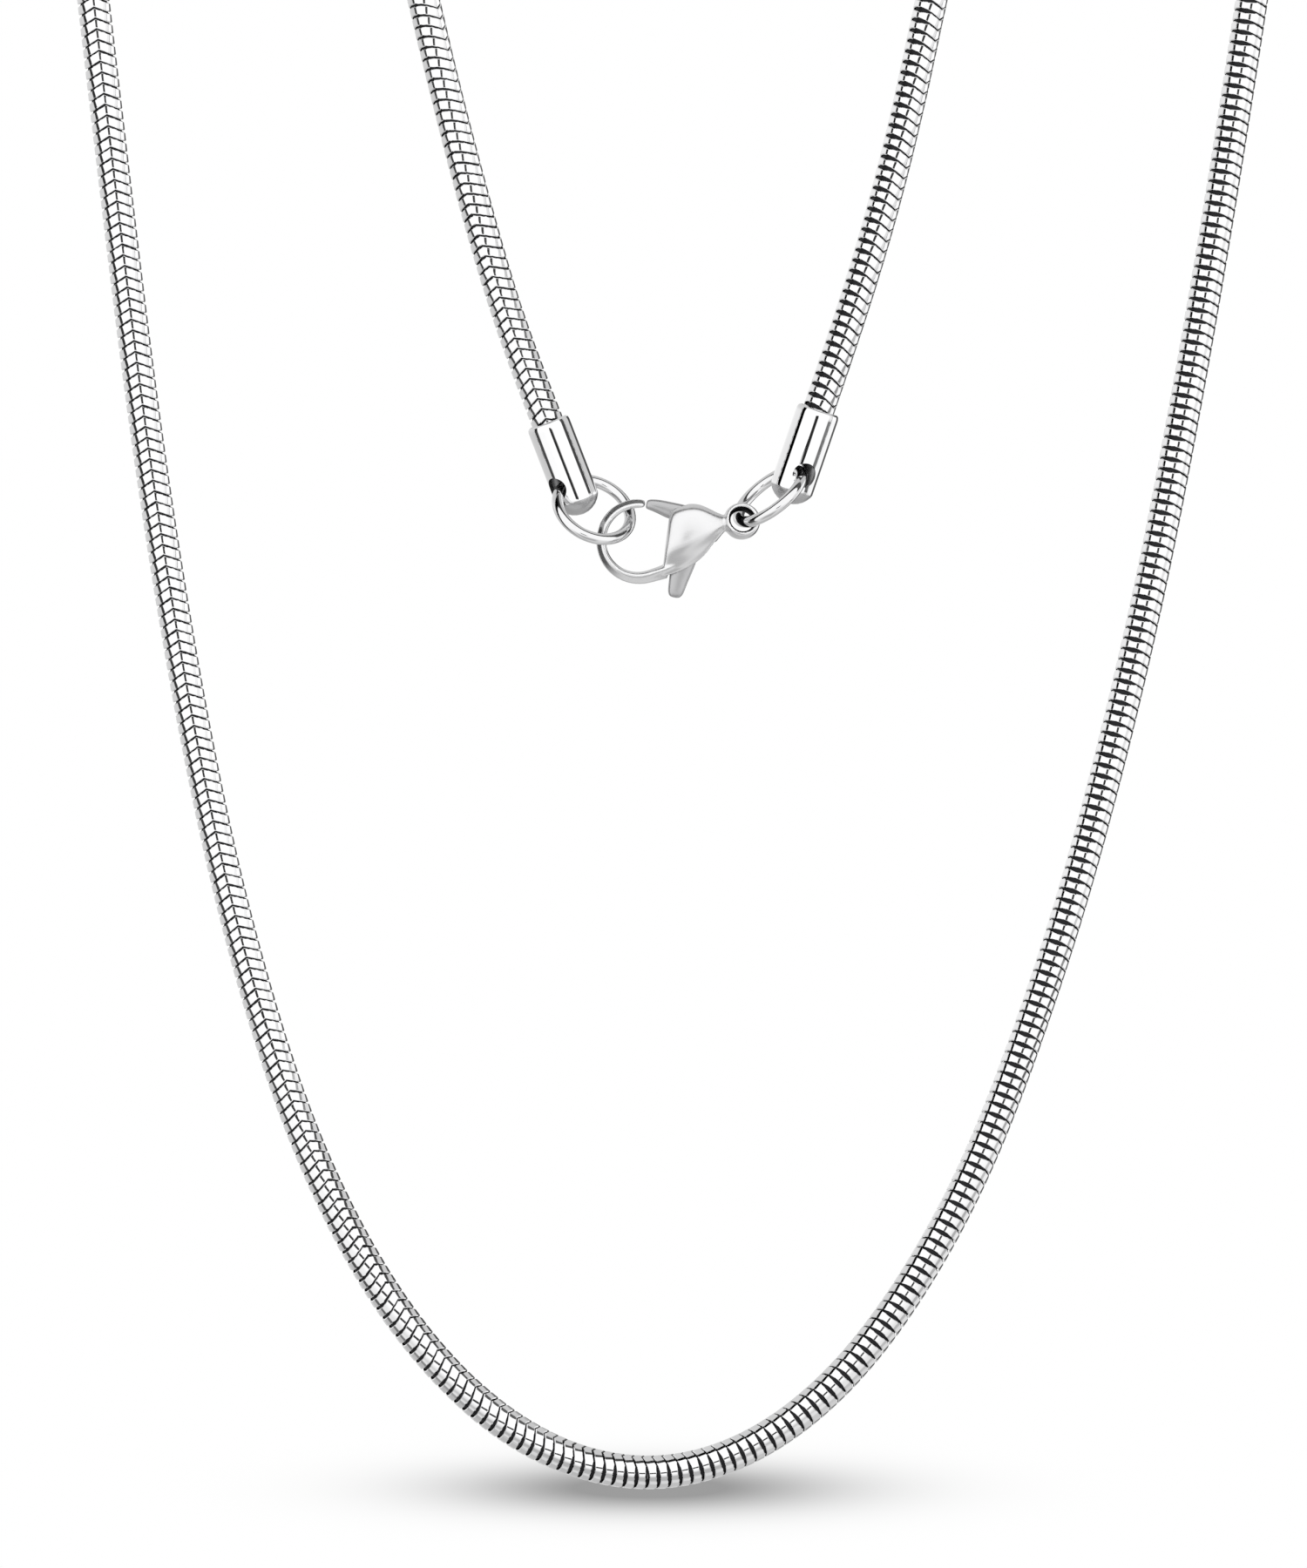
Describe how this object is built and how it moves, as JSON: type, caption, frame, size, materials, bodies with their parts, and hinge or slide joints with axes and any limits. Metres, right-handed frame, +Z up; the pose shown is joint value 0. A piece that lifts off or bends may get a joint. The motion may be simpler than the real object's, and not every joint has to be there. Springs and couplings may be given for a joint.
{
  "type": "snake chain necklace",
  "caption": "Round snake chain necklace in polished steel with tube end caps, jump rings and a lobster clasp whose sprung lever opens, hung in one plane over two pegs.",
  "frame": {"origin": "midway between the two arches of the hanging chain, level with their undersides, where the two pegs carry it", "axes": "+Z up, +X to the right as seen from the front, +Y away from the viewer; the necklace hangs in the X-Z plane and its clasp lies a little in front of it"},
  "size_m": [0.0925, 0.0062, 0.1485],
  "materials": {
    "chain_steel": "polished",
    "cap_steel": "polished",
    "ring_steel": "polished",
    "clasp_steel": "polished",
    "lever_steel": "satin"
  },
  "bodies": {
    "necklace": {"chain_left": "chain_steel", "chain_right": "chain_steel", "end_cap_left": "cap_steel", "end_cap_right": "cap_steel", "jump_ring_left": "ring_steel", "jump_ring_right": "ring_steel", "clasp_body": "clasp_steel", "clasp_pin": "clasp_steel"},
    "lever": {"clasp_lever": "lever_steel"}
  },
  "joints": [
    {"name": "lever_hinge", "type": "hinge", "parent": "necklace", "child": "lever", "pos_m": [0.00083, -0.0011, -0.07459], "axis": [0, -1, 0], "range_deg": [0, 25], "stiffness_Nm_per_rad": 0.01}
  ]
}
